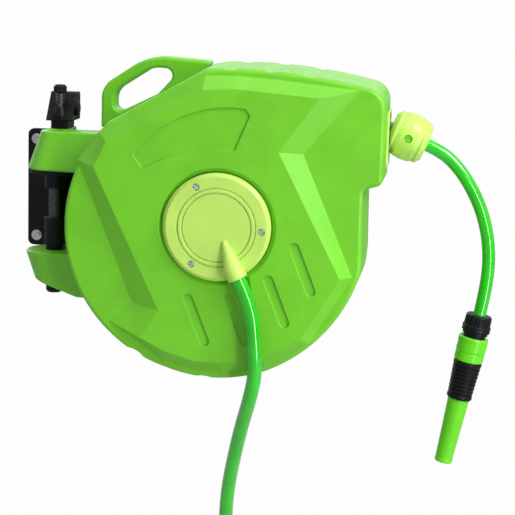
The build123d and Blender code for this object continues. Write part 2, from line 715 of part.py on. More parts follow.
def ratchet_wheel():
    teeth = 12
    with BuildPart() as wheel:
        points = []
        for tooth in range(teeth):
            start = 2 * math.pi * tooth / teeth
            points.append((34 * math.cos(start), 34 * math.sin(start)))
            points.append((28 * math.cos(start + 0.05), 28 * math.sin(start + 0.05)))
        extrude(polygon(face_plane(DRUM_FRONT_Y - 3.5), points), amount=6)
        rod(HUB, 15, -190, -170, Mode.SUBTRACT)
        ring(HUB, 15, 24, DRUM_FRONT_Y - 3.5, DRUM_FRONT_Y)
        ring(HUB, 12.1, 15, DRUM_FRONT_Y - 9.5, DRUM_FRONT_Y)
    save(wheel, "ratchet_wheel")


PAWL_PIVOT = (HUB_X - 44, HUB_Z - 22)
PAWL_Y = (DRUM_FRONT_Y - 9.5, DRUM_FRONT_Y - 4.5)


def pawl_pivot():
    with BuildPart() as pivot:
        axis = turning_plane((PAWL_PIVOT[0], 0, PAWL_PIVOT[1]), (0, 1, 0))
        rod(axis, 3, RIM_Y + WALL, PAWL_Y[1] + 0.8)
        ring(axis, 3, 6, RIM_Y + WALL, PAWL_Y[0] - 0.5)
    save(pivot, "pawl_pivot")


def ratchet_pawl():
    """Rides on the ratchet's teeth and drops behind one to hold the hose at any length."""
    with BuildPart() as pawl:
        axis = turning_plane((PAWL_PIVOT[0], 0, PAWL_PIVOT[1]), (0, 1, 0))
        ring(axis, 3 + RUNNING_GAP, 7, *PAWL_Y)
        blade = [(-41, -17), (-37, -4), (-35.5, 9), (-39, 9), (-43, -5), (-49, -17)]
        extrude(polygon(face_plane(PAWL_Y[1]), blade), amount=PAWL_Y[1] - PAWL_Y[0])
        rod(axis, 3 + RUNNING_GAP, PAWL_Y[0] - 1, PAWL_Y[1] + 1, Mode.SUBTRACT)
    save(pawl, "ratchet_pawl")


# ---------------------------------------------------------------- hose outlet

TILT = math.radians(OUTLET_TILT)
BALL_AXIS = turning_plane((BALL_CENTRE[0], PART_Y, BALL_CENTRE[1]), (math.cos(TILT), 0, math.sin(TILT)))
ROLLER_X = HUB_X + 184


def outlet_line(x):
    """Height of the hose's centre line at x, on its way through the outlet."""
    return BALL_CENTRE[1] + (x - BALL_CENTRE[0]) * math.tan(TILT)


ROLLER_REACH = OUTLET_HOSE_RADIUS + 7 + RUNNING_GAP
ROLLER_HEIGHTS = {"upper": outlet_line(ROLLER_X) + ROLLER_REACH, "lower": outlet_line(ROLLER_X) - ROLLER_REACH}


def outlet_plate():
    """The light frame on the casing's side, with two cheeks inside that hold the rollers."""
    left = OUTLET_PLATE_X
    with BuildPart() as plate:
        with BuildSketch(Plane.YZ.offset(left)):
            with Locations((PART_Y, HUB_Z + 105)):
                RectangleRounded(76, 68, 8)
        extrude(amount=4)
        chamfer(plate.faces().sort_by(Axis.X)[-1].edges(), 1.2)
        with BuildSketch(Plane.YZ.offset(left - 1)):
            with Locations((PART_Y, HUB_Z + 110)):
                RectangleRounded(50, 52, 14)
        extrude(amount=8, mode=Mode.SUBTRACT)
        for y in (PART_Y - 28.5, PART_Y + 25.5):
            with Locations((left - 9, y + 1.5, outlet_line(ROLLER_X))):
                Box(18, 3, 37)
        for height in ROLLER_HEIGHTS.values():
            axis = turning_plane((ROLLER_X, 0, height), (0, 1, 0))
            rod(axis, 2.5, PART_Y - 30, PART_Y + 30, Mode.SUBTRACT)
    save(plate, "outlet_plate")


def roller_pins():
    with BuildPart() as pins:
        for height in ROLLER_HEIGHTS.values():
            rod(turning_plane((ROLLER_X, 0, height), (0, 1, 0)), 2.5, PART_Y - 28.5, PART_Y + 28.5)
    save(pins, "roller_pins")


def guide_roller(which):
    with BuildPart() as roller:
        axis = turning_plane((ROLLER_X, 0, ROLLER_HEIGHTS[which]), (0, 1, 0))
        outline = [(2.8, -25), (7, -25), (7, -14), (6.2, -9), (6, 0), (6.2, 9), (7, 14), (7, 25), (2.8, 25)]
        turn(axis, [(radius, PART_Y + along) for radius, along in outline])
    save(roller, f"{which}_roller")


def upper_roller():
    guide_roller("upper")


def lower_roller():
    guide_roller("lower")


def inner_hose():
    """The hose from the winding to the ball stop."""
    along = Vector(math.cos(TILT), 0, math.sin(TILT))
    centre = Vector(BALL_CENTRE[0], PART_Y, BALL_CENTRE[1])
    reach = WINDING_RADIUS + OUTLET_HOSE_RADIUS + 0.6
    bend = centre - along * 50
    offset_x = bend.X - HUB_X
    offset_z = bend.Z - HUB_Z
    angle = math.atan2(offset_z, offset_x) + math.acos(reach / math.hypot(offset_x, offset_z))
    start = Vector(HUB_X + reach * math.cos(angle), PART_Y, HUB_Z + reach * math.sin(angle))
    end = centre + along * BALL_HALF_LENGTH
    with BuildPart() as hose:
        with BuildLine() as path:
            FilletPolyline(start, bend, end, radius=80)
        with BuildSketch(Plane(origin=start, z_dir=bend - start)):
            Circle(OUTLET_HOSE_RADIUS)
        sweep(path=path.wire())
    save(hose, "inner_hose")


def ball_half(name, side):
    """One half of the ball stop; the pair is clamped round the hose."""
    half_length = BALL_HALF_LENGTH
    outline = [(OUTLET_HOSE_RADIUS, -half_length), (20, -half_length), (26, -half_length + 5),
               (27, -half_length + 7), (26, -half_length + 7.8), (26.2, -half_length + 9),
               (28.6, -10), (29.6, 0), (28.6, 10), (26.2, half_length - 9), (26, half_length - 7.8),
               (27, half_length - 7), (26, half_length - 5), (20, half_length), (OUTLET_HOSE_RADIUS, half_length)]
    with BuildPart() as half:
        turn(BALL_AXIS, outline)
        split(bisect_by=Plane(origin=(0, PART_Y, 0), z_dir=(0, side, 0)))
        if side < 0:
            screw = turning_plane((BALL_CENTRE[0], 0, BALL_CENTRE[1]), (0, 1, 0))
            rod(screw, 4.8, PART_Y - 32, PART_Y - 26, Mode.SUBTRACT)
            rod(screw, 2.6, PART_Y - 30, PART_Y, Mode.SUBTRACT)
    save(half, name)


def ball_front():
    ball_half("ball_front", -1)


def ball_rear():
    ball_half("ball_rear", 1)


def ball_screw():
    with BuildPart() as screw:
        axis = turning_plane((BALL_CENTRE[0], 0, BALL_CENTRE[1]), (0, 1, 0))
        turn(axis, [(0, PART_Y - 28), (4.2, PART_Y - 28), (4.2, PART_Y - 26), (2.6, PART_Y - 26),
                    (2.6, PART_Y - OUTLET_HOSE_RADIUS - 0.3), (0, PART_Y - OUTLET_HOSE_RADIUS - 0.3)])
        with Locations((BALL_CENTRE[0], PART_Y - 28, BALL_CENTRE[1])):
            Box(6, 1.4, 1.2, mode=Mode.SUBTRACT)
    save(screw, "ball_screw")


# ---------------------------------------------------------------- free hoses

def hose_radii(route):
    """Each bend's radius: 0.45 of the shorter run beside it, over the tangent of half the turn."""
    spots = [Vector(*spot) for spot in route]
    radii = []
    for before, corner, after in zip(spots, spots[1:], spots[2:]):
        run_in = corner - before
        run_out = after - corner
        half_turn = math.radians(run_in.get_angle(run_out)) / 2
        radii.append(0.45 * min(run_in.length, run_out.length) / math.tan(half_turn))
    return radii


def free_hose(name, route, radius):
    spots = [Vector(*spot) for spot in route]
    radii = hose_radii(route)
    with BuildPart() as hose:
        with BuildLine() as path:
            FilletPolyline(*spots, radius=radii)
        with BuildSketch(Plane(origin=spots[0], z_dir=spots[1] - spots[0])):
            Circle(radius)
        sweep(path=path.wire())
    expected = math.pi * radius ** 2 * path.wire().length
    print(name, "bend radii", [round(bend) for bend in radii], "length", round(path.wire().length),
          "volume / expected", round(hose.part.volume / expected, 4))
    save(hose, name)


def outlet_hose():
    free_hose("outlet_hose", OUTLET_ROUTE, OUTLET_HOSE_RADIUS)


def leader_hose():
    free_hose("leader_hose", LEADER_ROUTE, LEADER_HOSE_RADIUS)


COIL = turning_plane((COIL_CENTRE[0], COIL_Y, COIL_CENTRE[1]), (0, 1, 0))


def leader_coil():
    """Outer shape of the put-away turns: a ring as wide as its turns side by side."""
    half_width = COIL_TURNS * LEADER_HOSE_RADIUS
    inner = COIL_RADIUS - LEADER_HOSE_RADIUS
    outer = COIL_RADIUS + LEADER_HOSE_RADIUS
    with BuildPart() as coil:
        ring(COIL, inner, outer, -half_width, half_width)
        fillet(coil.edges(), 7)
    save(coil, "leader_coil")


def coil_ties():
    with BuildPart() as ties:
        for turned in (55, 200):
            angle = math.radians(turned)
            middle = Vector(COIL_CENTRE[0] + COIL_RADIUS * math.cos(angle), COIL_Y,
                            COIL_CENTRE[1] + COIL_RADIUS * math.sin(angle))
            plane = Plane(origin=middle, x_dir=(0, 1, 0), z_dir=(-math.sin(angle), 0, math.cos(angle)))
            wide = 2 * COIL_TURNS * LEADER_HOSE_RADIUS
            high = 2 * LEADER_HOSE_RADIUS
            with BuildSketch(plane):
                RectangleRounded(wide + 4, high + 4, 8)
                RectangleRounded(wide + 0.8, high + 0.8, 7, mode=Mode.SUBTRACT)
            extrude(amount=5, both=True)
    save(ties, "coil_ties")


# ---------------------------------------------------------------- couplings and nozzle

NOZZLE_TOP = Vector(*OUTLET_ROUTE[-1])
NOZZLE_DIRECTION = Vector(-35, 0, -191.8).normalized()
NOZZLE = turning_plane(NOZZLE_TOP, NOZZLE_DIRECTION)


COUPLING_END = 55          # from the hose's end to the coupling's mouth
SOCKET_RADIUS = 8
WATERWAY_RADIUS = 3.5


def hose_nut(axis, name):
    """The ribbed nut that clamps the hose's end."""
    with BuildPart() as nut:
        turn(axis, [(0, 0), (14.8, 0), (16.2, 1.5), (16.6, 13), (17.8, 14), (17.8, 15.6), (16.9, 16.4),
                    (17.6, 17.4), (17.6, 20.6), (12.5, 20.6), (12.5, 6), (0, 6)])
        knurls(axis, 18, 16.9, 1.2, 2, 12)
    save(nut, name)


def knurls(axis, count, radius, depth, start, end):
    """Grip grooves cut along a round piece."""
    for notch in range(count):
        angle = 2 * math.pi * notch / count
        origin = axis.origin + (axis.x_dir * math.cos(angle) + axis.z_dir * math.sin(angle)) * radius
        rod(turning_plane(origin, axis.y_dir), depth, start, end, Mode.SUBTRACT)


def quick_coupling(axis, name, socket):
    """The inner body of a push-on coupling: a hose tail inside the nut, then a sleeve for the collar.

    A socket of the given depth is open at its end, for the nipple that it is pushed onto."""
    with BuildPart() as body:
        turn(axis, [(0, 8), (5, 8), (5, 19), (12.2, 19), (12.2, 21.2), (15.8, 21.2), (15.8, 24.4), (13.6, 24.4),
                    (13.6, 52), (11, COUPLING_END), (0, COUPLING_END)])
        rod(axis, WATERWAY_RADIUS, 7, COUPLING_END + 1, Mode.SUBTRACT)
        rod(axis, SOCKET_RADIUS, COUPLING_END - socket, COUPLING_END + 1, Mode.SUBTRACT)
    save(body, name)


def collar(axis, name):
    """The sliding collar, pulled back to free the coupling."""
    with BuildPart() as sleeve:
        turn(axis, [(14, 28.5), (17.4, 28.5), (18.6, 30), (18.6, 46), (17.8, 48), (18.2, 50), (18.2, 58.5),
                    (16.5, 60), (14, 60)])
        dimple = turning_plane(axis.origin + axis.y_dir * 40, axis.z_dir)
        for reach in ((17.8, 25), (-25, -17.8)):
            rod(dimple, 5, *reach, Mode.SUBTRACT)
    save(sleeve, name)


def nozzle_nut():
    hose_nut(NOZZLE, "nozzle_nut")


def nozzle_coupling():
    quick_coupling(NOZZLE, "nozzle_coupling", 12)


def nozzle_collar():
    collar(NOZZLE, "nozzle_collar")


def nozzle_grip():
    with BuildPart() as grip:
        outline = [(0, 60.4), (16.4, 60.4), (18, 62)]
        # ribs along the grip
        for rib in range(8):
            along = 66 + 5 * rib
            outer = 17.6 - 0.05 * (along - 62)
            outline += [(outer, along), (outer - 1.4, along + 0.8), (outer - 1.4, along + 1.8), (outer, along + 2.6)]
        outline += [(16, 108), (15, 109.5), (0, 109.5)]
        turn(NOZZLE, outline)
        rod(NOZZLE, 9.2, 90, 110, Mode.SUBTRACT)
        rod(NOZZLE, 4, 60, 95, Mode.SUBTRACT)
    save(grip, "nozzle_grip")


def nozzle_spindle():
    """The fixed plug that the turning tube closes on."""
    with BuildPart() as spindle:
        turn(NOZZLE, [(0, 90.2), (9, 90.2), (9, 96), (5, 96), (5, 168), (6.6, 174), (6.6, 178), (0, 183)])
    save(spindle, "nozzle_spindle")


def nozzle_tube():
    with BuildPart() as tube:
        turn(NOZZLE, [(5.5, 110), (13.2, 110), (13.6, 112), (13.2, 118), (10.9, 190), (11.4, 192), (11, 195),
                      (8.6, 195), (7.6, 186), (9, 172), (10.4, 120), (5.5, 118)])
    save(tube, "nozzle_tube")


def nozzle_seal():
    with BuildPart() as seal:
        ring(NOZZLE, 5.05, 8.8, 96.2, 99)
    save(seal, "nozzle_seal")


# The put-away hose ends in its tap coupling, lying across the coil's lower side.
TAP = turning_plane((COIL_CENTRE[0], COIL_Y - 46, COIL_CENTRE[1] - COIL_RADIUS), (-1, 0, 0))


def tap_nut():
    hose_nut(TAP, "tap_nut")


def tap_coupling():
    quick_coupling(TAP, "tap_coupling", 22)


def tap_collar():
    collar(TAP, "tap_collar")


PIECES = (
    wall_bracket, wall_bolts, wall_washers, hinge_bushes, spacer_sleeve, detent_plate, hinge_pin, pin_nut,
    front_shell, rear_shell, shell_screws, upper_arm, lower_arm, lock_block, lock_plunger, lock_knob,
    lock_spring, carry_handle, hub_cap, hub_cap_screws, hose_gland, inlet_elbow, axle_tube, axle_cap,
    drum_core, front_flange, rear_flange, flange_bolts, drum_bushes, wound_hose, drum_elbow, swivel_seals,
    spring_cup, spring_arbor, main_spring, ratchet_wheel, pawl_pivot, ratchet_pawl, outlet_plate, roller_pins,
    upper_roller, lower_roller, inner_hose, ball_front, ball_rear, ball_screw, outlet_hose, leader_hose,
    leader_coil, coil_ties, nozzle_nut, nozzle_coupling, nozzle_collar, nozzle_grip, nozzle_spindle,
    nozzle_tube, nozzle_seal, tap_nut, tap_coupling, tap_collar,
)

for make in PIECES:
    make()
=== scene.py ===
import json
import math

import bpy
from mathutils import Matrix, Vector


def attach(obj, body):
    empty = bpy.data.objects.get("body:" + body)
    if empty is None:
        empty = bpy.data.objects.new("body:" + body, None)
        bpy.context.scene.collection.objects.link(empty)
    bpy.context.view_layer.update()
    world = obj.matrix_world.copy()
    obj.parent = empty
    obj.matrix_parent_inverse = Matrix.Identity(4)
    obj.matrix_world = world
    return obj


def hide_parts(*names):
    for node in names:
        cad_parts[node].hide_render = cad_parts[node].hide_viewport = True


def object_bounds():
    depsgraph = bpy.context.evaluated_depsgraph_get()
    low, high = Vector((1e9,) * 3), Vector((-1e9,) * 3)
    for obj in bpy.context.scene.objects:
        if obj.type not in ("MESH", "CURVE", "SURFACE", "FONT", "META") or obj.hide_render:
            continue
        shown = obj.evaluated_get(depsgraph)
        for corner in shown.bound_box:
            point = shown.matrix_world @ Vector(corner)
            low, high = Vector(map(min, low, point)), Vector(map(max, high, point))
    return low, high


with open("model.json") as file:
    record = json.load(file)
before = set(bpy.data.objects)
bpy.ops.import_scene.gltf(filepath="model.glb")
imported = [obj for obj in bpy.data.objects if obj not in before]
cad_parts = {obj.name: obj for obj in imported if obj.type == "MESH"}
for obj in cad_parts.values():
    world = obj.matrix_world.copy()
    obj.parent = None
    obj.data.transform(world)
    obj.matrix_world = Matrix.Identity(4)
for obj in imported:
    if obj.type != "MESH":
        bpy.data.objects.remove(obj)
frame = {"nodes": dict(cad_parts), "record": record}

# Wall-mounted retracting hose reel. Metres, in the frame's own axes: the wall is towards +Y, +Z is up.

cad_low, cad_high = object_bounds()
nodes = frame["nodes"]
scene = bpy.context.scene

# ---------------------------------------------------------------- driving values

# camera
CAMERA_TARGET = Vector((0.2584, -0.105, -0.0620))
CAMERA_DISTANCE = 1.9
CAMERA_AZIMUTH = math.radians(6.5)
CAMERA_ELEVATION = math.radians(10.5)
CAMERA_ROLL = math.radians(1.8)
CAMERA_LENS = 105.4
CAMERA_CLIP_END = 100

# hoses: the outlet hose runs from the ball stop to the nozzle, the leader from the hub to its tap coupling
OUTLET_DIAMETER = 0.016
LEADER_DIAMETER = 0.0175
OUTLET_DETAIL = 14         # points drawn for each point of a route
LEADER_DETAIL = 10
HOSE_ROUNDNESS = 10        # bevel resolution of a hose's section
OUTLET_ROUTE = [
    (0.4627, -0.105, 0.0895), (0.4831, -0.105, 0.0813), (0.5055, -0.105, 0.0605), (0.5245, -0.105, 0.032),
    (0.5385, -0.105, 0.0), (0.5465, -0.105, -0.038), (0.5462, -0.105, -0.080), (0.539, -0.105, -0.120),
]
LEADER_ROUTE = [
    (0.2486, -0.219, -0.0675), (0.2649, -0.219, -0.0998), (0.270, -0.219, -0.140), (0.273, -0.217, -0.182),
    (0.2665, -0.209, -0.216), (0.2545, -0.188, -0.258), (0.2435, -0.166, -0.306), (0.234, -0.146, -0.356),
    (0.230, -0.130, -0.408), (0.235, -0.113, -0.458), (0.246, -0.098, -0.500), (0.246, -0.0945, -0.535),
]

# the put-away end of the leader hose
COIL_CENTRE = Vector((0.150, 0, -0.535))
COIL_RADIUS = 0.096
COIL_TURNS = 2.25
COIL_POINTS_PER_TURN = 16
TAIL_STEPS = 6             # points over which the hose leaves the coil for its tap nut
TAP_START = Vector((0.150, -0.158, -0.631))
TAP_LEAD_IN = Vector((0.02, 0, 0))  # keeps the hose's end in line with the tap nut

# drum winding
DRUM_AXIS = Vector((0.220, 0, -0.009))
WINDING_FRONT_Y = -0.160
WINDING_REAR_Y = -0.074
WINDING_RADII = (0.0684, 0.0840, 0.0996, 0.1152, 0.1288)  # of the hose's centre line, layer by layer
WINDING_DIAMETER = OUTLET_DIAMETER * 0.96                  # a little slack between the turns
TURNS_PER_LAYER = 5
WINDING_POINTS_PER_TURN = 14
WINDING_DETAIL = 3
WINDING_ROUNDNESS = 2

# lights: azimuth and elevation in degrees, distance, size, power in watts
LIGHTS = {
    "key_light": (58, 40, 2.6, (1.2, 1.2), 54),
    "top_light": (20, 84, 2.2, (2.2, 1.6), 16),
    "tall_softbox": (42, -4, 2.4, (0.40, 1.8), 28),  # draws the long highlight on the hanging hoses
    "left_fill": (-68, 22, 2.8, (1.6, 2.0), 4),
    "back_fill": (222, 24, 2.8, (1.6, 1.6), 22),
    "rear_light": (190, 20, 2.8, (2.4, 1.0), 7),
}

# surroundings and floor
AMBIENT = 0.44             # how much light the surroundings give
BACKDROP = 0.985           # how bright the surroundings and the floor look to the camera
WHITE = (1, 1, 1, 1)
FLOOR_DROP = 0.22          # from the hanging coil down to the floor
FLOOR_SIZE = 60
FLOOR_BLOTCH = 1.2
FLOOR_GREYS = ((0.50, 0.50, 0.50), (0.48, 0.48, 0.48))

# surface texture: sizes across one blotch of colour, of dullness or of relief, and heights of the relief
FLOW_MARK = 0.045          # cloudy flow marks in moulded plastic
FLOW_SHADE = 0.9
SCUFF = 0.006
PLASTIC_GRAIN = 0.0011
WAVINESS, WAVE_HEIGHT = 0.05, 0.0004
HOSE_BLOTCH = 0.03
HOSE_SMEAR = 0.004
HOSE_RIPPLE, RIPPLE_HEIGHT = 0.03, 0.00008
COATING_BLOTCH = 0.02
COATING_SMEAR = 0.008
ORANGE_PEEL, PEEL_HEIGHT = 0.0016, 0.00006
METAL_BLOTCH = 0.004
METAL_SMEAR = 0.003
BRUSH_MARK, BRUSH_HEIGHT = 0.0006, 0.00001
RUBBER_BLOTCH = 0.006
RUBBER_SMEAR = 0.002
RUBBER_SKIN, SKIN_HEIGHT = 0.0007, 0.00004
WORN_PATCH = 0.012         # edges are rubbed in patches
EDGE_LEAN = (0.80, 0.985)  # cosines of a rounded edge's normal to the flat's: fully worn and not worn
BEVEL_SAMPLES = 6


# ---------------------------------------------------------------- camera, lights, surroundings, floor

def direction(azimuth, elevation):
    """The way from the object towards a viewer at this azimuth and elevation, in radians."""
    return Vector((math.sin(azimuth) * math.cos(elevation), -math.cos(azimuth) * math.cos(elevation),
                   math.sin(elevation)))


def make_camera():
    camera = bpy.data.objects.new("camera", bpy.data.cameras.new("camera"))
    scene.collection.objects.link(camera)
    camera.data.lens = CAMERA_LENS
    back = direction(CAMERA_AZIMUTH, CAMERA_ELEVATION)
    camera.location = CAMERA_TARGET + back * CAMERA_DISTANCE
    camera.rotation_mode = "QUATERNION"
    upright = (-back).to_track_quat("-Z", "Y")
    camera.rotation_quaternion = upright @ Matrix.Rotation(CAMERA_ROLL, 3, "Z").to_quaternion()
    camera.data.clip_end = CAMERA_CLIP_END
    scene.camera = camera


def make_light(name, azimuth, elevation, distance, size, power):
    """A soft rectangular light that looks where the camera looks."""
    data = bpy.data.lights.new(name, "AREA")
    data.shape = "RECTANGLE"
    data.size, data.size_y = size
    data.energy = power
    light = bpy.data.objects.new(name, data)
    light.visible_camera = False
    scene.collection.objects.link(light)
    back = direction(math.radians(azimuth), math.radians(elevation))
    light.location = CAMERA_TARGET + back * distance
    light.rotation_euler = back.to_track_quat("Z", "Y").to_euler()


def make_surroundings():
    """An even pale studio, which looks brighter to the camera than the light it gives."""
    world = bpy.data.worlds.new("studio")
    world.use_nodes = True
    tree = world.node_tree
    lit = tree.nodes["Background"]
    lit.inputs["Strength"].default_value = AMBIENT
    seen = tree.nodes.new("ShaderNodeBackground")
    seen.inputs["Strength"].default_value = BACKDROP
    for background in (lit, seen):
        background.inputs["Color"].default_value = WHITE
    rays = tree.nodes.new("ShaderNodeLightPath")
    choose = tree.nodes.new("ShaderNodeMixShader")
    tree.links.new(rays.outputs["Is Camera Ray"], choose.inputs[0])
    tree.links.new(lit.outputs[0], choose.inputs[1])
    tree.links.new(seen.outputs[0], choose.inputs[2])
    tree.links.new(choose.outputs[0], tree.nodes["World Output"].inputs["Surface"])
    scene.world = world
    scene.view_settings.view_transform = "Standard"
    scene.view_settings.look = "None"


def make_floor():
    height = cad_low.z - FLOOR_DROP
    half = FLOOR_SIZE / 2
    corners = [(-half, -half, height), (half, -half, height), (half, half, height), (-half, half, height)]
    mesh = bpy.data.meshes.new("floor")
    mesh.from_pydata(corners, [], [(0, 1, 2, 3)])
    floor = bpy.data.objects.new("floor", mesh)
    scene.collection.objects.link(floor)
    floor.data.materials.append(floor_material())


# ---------------------------------------------------------------- material helpers

class Shader:
    """A node tree round one Principled shader, with short calls for what the materials here share.

    Calls that set or link sockets take their names in lower case, with _ for a space."""

    def __init__(self, name):
        self.material = bpy.data.materials.new(name)
        self.material.use_nodes = True
        self.tree = self.material.node_tree
        self.principled = self.tree.nodes["Principled BSDF"]
        self.place = self.tree.nodes.new("ShaderNodeTexCoord").outputs["Object"]

    def set(self, **values):
        """Gives the shader's sockets fixed values; three numbers are a colour."""
        for key, value in values.items():
            socket = self.principled.inputs[key.replace("_", " ").title().replace("Ior", "IOR")]
            socket.default_value = (*value, 1) if hasattr(value, "__len__") else value

    def node(self, kind, inputs=(), **attributes):
        """Adds a node; an input is a value or another node's socket."""
        made = self.tree.nodes.new("ShaderNode" + kind)
        for key, value in attributes.items():
            setattr(made, key, value)
        for key, value in dict(inputs).items():
            if isinstance(value, bpy.types.NodeSocket):
                self.tree.links.new(value, made.inputs[key])
            else:
                made.inputs[key].default_value = value
        return made

    def noise(self, size, detail, roughness=0.55, stretch=None):
        """Noise whose blotches are about this many metres across, from 0 to 1."""
        place = self.place
        if stretch:
            place = self.node("Mapping", {"Vector": place, "Scale": stretch}).outputs["Vector"]
        inputs = {"Vector": place, "Scale": 1 / size, "Detail": detail, "Roughness": roughness}
        return self.node("TexNoise", inputs).outputs["Fac"]

    def between(self, fac, low, high, start=0.3, end=0.7):
        """Maps start to end of a value onto low to high, and holds it there beyond them."""
        inputs = {"Value": fac, "From Min": start, "From Max": end, "To Min": low, "To Max": high}
        return self.node("MapRange", inputs).outputs["Result"]

    def mix(self, fac, first, second):
        """Mixes two colours; each is a colour or a socket."""
        made = self.node("Mix", data_type="RGBA")
        # the factor and the two colours of a colour mix
        for socket, value in zip((made.inputs[0], made.inputs[6], made.inputs[7]), (fac, first, second)):
            if isinstance(value, bpy.types.NodeSocket):
                self.tree.links.new(value, socket)
            else:
                socket.default_value = (*value, 1) if hasattr(value, "__len__") else value
        return made.outputs[2]

    def worn_edges(self, radius, amount):
        """0 on flats and up to amount along edges, where a rounded normal leans away from the true one."""
        rounded = self.node("Bevel", {"Radius": radius}, samples=BEVEL_SAMPLES).outputs["Normal"]
        true_normal = self.node("NewGeometry").outputs["Normal"]
        lean = self.node("VectorMath", {0: rounded, 1: true_normal}, operation="DOT_PRODUCT").outputs["Value"]
        patchy = self.between(self.noise(WORN_PATCH, 4), 0.25 * amount, amount)
        edge = self.between(lean, 1, 0, *EDGE_LEAN)
        return self.node("Math", {0: edge, 1: patchy}, operation="MULTIPLY").outputs["Value"]

    def bumps(self, edge_radius, *layers):
        """Rounds the edges a little, unless edge_radius is 0, then adds layers of (value, height)."""
        if edge_radius:
            normal = self.node("Bevel", {"Radius": edge_radius}, samples=BEVEL_SAMPLES).outputs["Normal"]
        else:
            normal = self.node("NewGeometry").outputs["Normal"]
        for value, height in layers:
            inputs = {"Height": value, "Distance": height, "Strength": 1.0, "Normal": normal}
            normal = self.node("Bump", inputs).outputs["Normal"]
        self.tree.links.new(normal, self.principled.inputs["Normal"])

    def link(self, **sockets):
        """Feeds the shader's sockets from other nodes."""
        for key, value in sockets.items():
            self.tree.links.new(value, self.principled.inputs[key.replace("_", " ").title()])


def srgb(code):
    """A colour from its usual six-digit code, as the shader wants it."""
    parts = [int(code[i:i + 2], 16) / 255 for i in (0, 2, 4)]
    return tuple(c / 12.92 if c <= 0.04045 else ((c + 0.055) / 1.055) ** 2.4 for c in parts)


def moulded_plastic(name, code, worn, roughness=0.36, grain=0.00003, edge=0.0012, gloss=0.4):
    """Injection-moulded plastic: fine grain, cloudy flow marks, and edges that are rubbed paler.

    grain is the height of its grain and edge the radius that its sharp edges look to have."""
    shader = Shader(name)
    base = srgb(code)
    cloudy = tuple(c * FLOW_SHADE for c in base)
    flow = shader.between(shader.noise(FLOW_MARK, 4), 0, 1, 0.35, 0.65)
    colour = shader.mix(flow, base, cloudy)
    colour = shader.mix(shader.worn_edges(edge, 0.7), colour, srgb(worn))
    scuffs = shader.noise(SCUFF, 5, 0.65, stretch=(1, 1, 0.25))
    rough = shader.between(scuffs, roughness - 0.07, roughness + 0.10)
    shader.link(base_color=colour, roughness=rough)
    shader.set(specular_ior_level=gloss)
    shader.bumps(edge, (shader.noise(PLASTIC_GRAIN, 2, 0.6), grain), (shader.noise(WAVINESS, 2), WAVE_HEIGHT))
    return shader.material


def hose_material(name, code, dark_code):
    """Glossy extruded hose: a clear skin over a green core, whose green is a little uneven."""
    shader = Shader(name)
    blotch = shader.between(shader.noise(HOSE_BLOTCH, 3), 0, 1)
    colour = shader.mix(blotch, srgb(code), srgb(dark_code))
    rough = shader.between(shader.noise(HOSE_SMEAR, 4, 0.6), 0.10, 0.18)
    shader.link(base_color=colour, roughness=rough)
    shader.set(coat_weight=1.0, coat_roughness=0.03)
    shader.bumps(0, (shader.noise(HOSE_RIPPLE, 1), RIPPLE_HEIGHT))
    return shader.material


def coated_steel(name, code, pale_code, bared):
    """Black powder-coated plate: orange peel, and rubbed edges where the steel shows a little."""
    shader = Shader(name)
    blotch = shader.between(shader.noise(COATING_BLOTCH, 4), 0, 1)
    colour = shader.mix(blotch, srgb(code), srgb(pale_code))
    colour = shader.mix(shader.worn_edges(0.001, 0.5), colour, srgb(bared))
    rough = shader.between(shader.noise(COATING_SMEAR, 4), 0.34, 0.52)
    shader.link(base_color=colour, roughness=rough)
    shader.set(specular_ior_level=0.25)
    shader.bumps(0.0009, (shader.noise(ORANGE_PEEL, 2), PEEL_HEIGHT))
    return shader.material


def bare_metal(name, code, dark_code, roughness, brushing=(1, 1, 1)):
    """Plated or drawn metal with duller patches and fine marks, which brushing draws finer along an axis."""
    shader = Shader(name)
    blotch = shader.between(shader.noise(METAL_BLOTCH, 4), 0, 1)
    colour = shader.mix(blotch, srgb(code), srgb(dark_code))
    rough = shader.between(shader.noise(METAL_SMEAR, 4, 0.6, brushing), roughness - 0.08, roughness + 0.12)
    shader.link(base_color=colour, roughness=rough)
    shader.set(metallic=1.0)
    shader.bumps(0.0004, (shader.noise(BRUSH_MARK, 2, 0.6, brushing), BRUSH_HEIGHT))
    return shader.material


def soft_rubber(name, code, pale_code):
    """Dull rubber with a fine matt skin."""
    shader = Shader(name)
    blotch = shader.between(shader.noise(RUBBER_BLOTCH, 4), 0, 1)
    colour = shader.mix(blotch, srgb(code), srgb(pale_code))
    shader.link(base_color=colour, roughness=shader.between(shader.noise(RUBBER_SMEAR, 3), 0.62, 0.8))
    shader.bumps(0.0006, (shader.noise(RUBBER_SKIN, 2), SKIN_HEIGHT))
    return shader.material


def floor_material():
    """Matt pale studio floor, seen as bright as its surroundings."""
    shader = Shader("floor")
    colour = shader.mix(shader.between(shader.noise(FLOOR_BLOTCH, 3), 0, 1), *FLOOR_GREYS)
    shader.link(base_color=colour)
    shader.set(roughness=0.9, specular_ior_level=0.0)
    glow = shader.node("Emission", {"Color": WHITE, "Strength": BACKDROP})
    seen = shader.node("LightPath").outputs["Is Camera Ray"]
    both = shader.node("MixShader", {0: seen, 1: shader.principled.outputs[0], 2: glow.outputs[0]})
    shader.tree.links.new(both.outputs[0], shader.tree.nodes["Material Output"].inputs["Surface"])
    return shader.material


